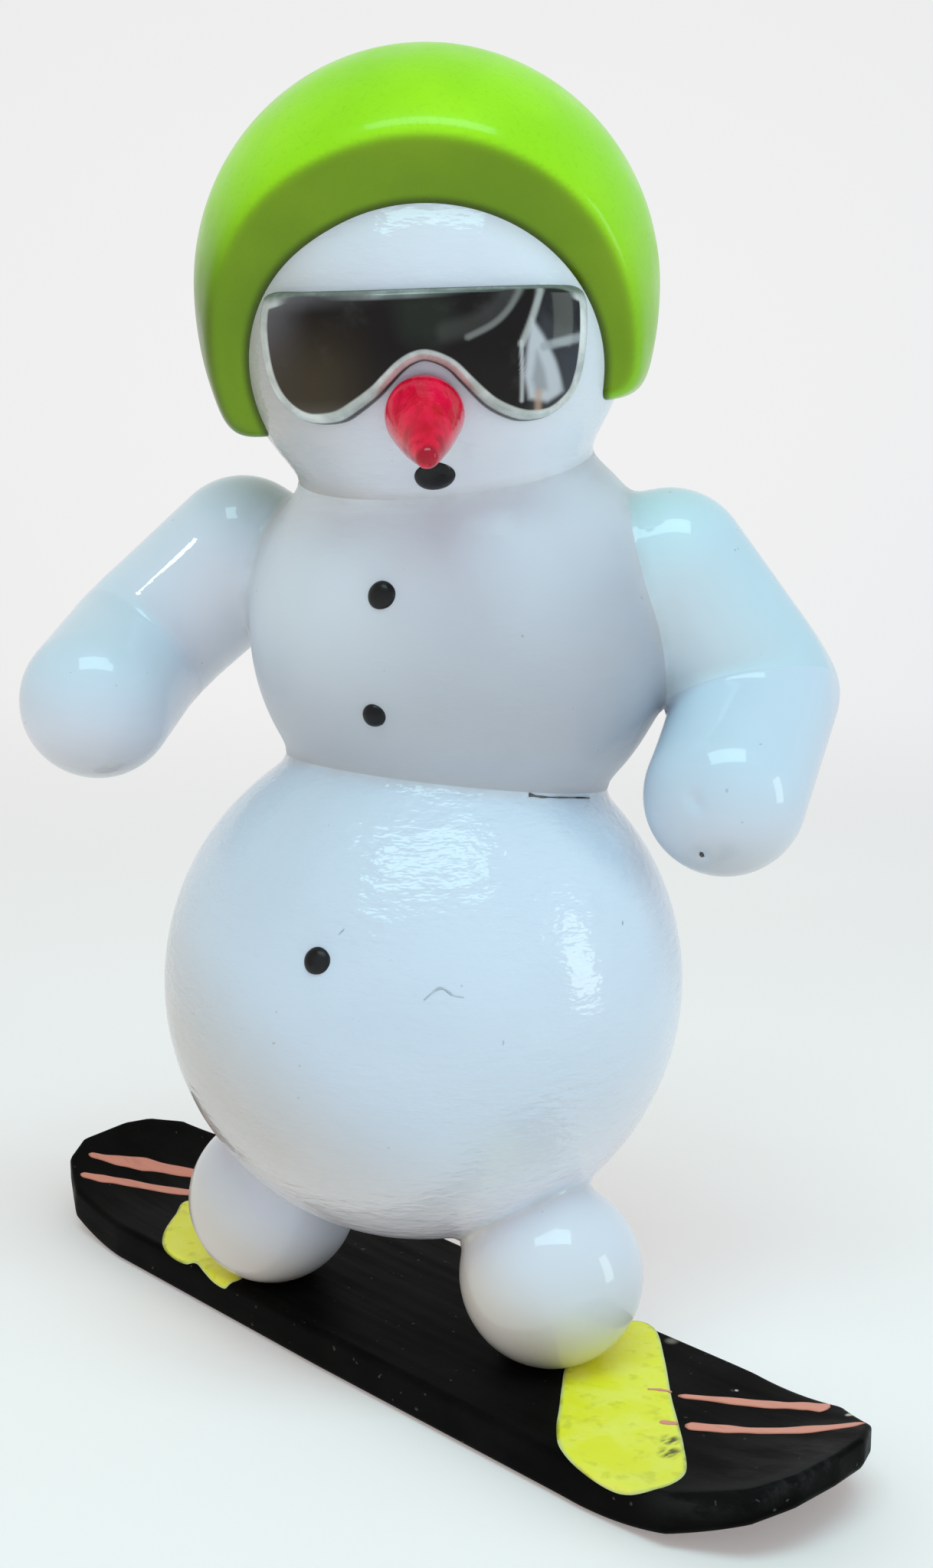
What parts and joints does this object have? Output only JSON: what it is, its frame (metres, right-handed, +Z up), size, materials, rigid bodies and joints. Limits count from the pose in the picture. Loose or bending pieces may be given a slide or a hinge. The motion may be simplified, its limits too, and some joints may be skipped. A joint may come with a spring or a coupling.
{
  "type": "wooden snowman figurine",
  "caption": "Turned wooden snowman with a helmet, mirrored goggles, a carrot nose and bent arms, standing sideways on a snowboard with upturned ends.",
  "frame": {"origin": "middle of the board's flat underside", "axes": "+Z up, +X along the board towards its leading tip, -Y the way the belly faces"},
  "size_m": [0.0728, 0.0433, 0.0856],
  "materials": {
    "white_lacquer": "glossy white lacquer over turned beech",
    "lime_lacquer": "glossy neon lime lacquer over turned beech",
    "red_lacquer": "glossy red lacquer, brushed by hand",
    "black_lacquer": "glossy black paint",
    "board_paint": "satin black paint with yellow bindings and pink stripes",
    "goggle_mirror": "dark mirror with a bright bevelled edge",
    "bare_beech": "unfinished beech, out of sight"
  },
  "bodies": {
    "root": {"snowboard": "board_paint", "left_foot": "white_lacquer", "right_foot": "white_lacquer", "belly": "white_lacquer", "chest": "white_lacquer", "head": "white_lacquer", "left_upper_arm": "white_lacquer", "left_forearm": "white_lacquer", "right_upper_arm": "white_lacquer", "right_forearm": "white_lacquer", "helmet": "lime_lacquer", "goggles": "goggle_mirror", "nose": "red_lacquer", "mouth": "black_lacquer", "button_upper": "black_lacquer", "button_middle": "black_lacquer", "button_lower": "black_lacquer", "waist_dowel": "bare_beech", "neck_dowel": "bare_beech", "left_hip_dowel": "bare_beech", "right_hip_dowel": "bare_beech", "left_foot_dowel": "bare_beech", "right_foot_dowel": "bare_beech", "left_shoulder_dowel": "bare_beech", "right_shoulder_dowel": "bare_beech", "left_elbow_dowel": "bare_beech", "right_elbow_dowel": "bare_beech"}
  },
  "joints": []
}
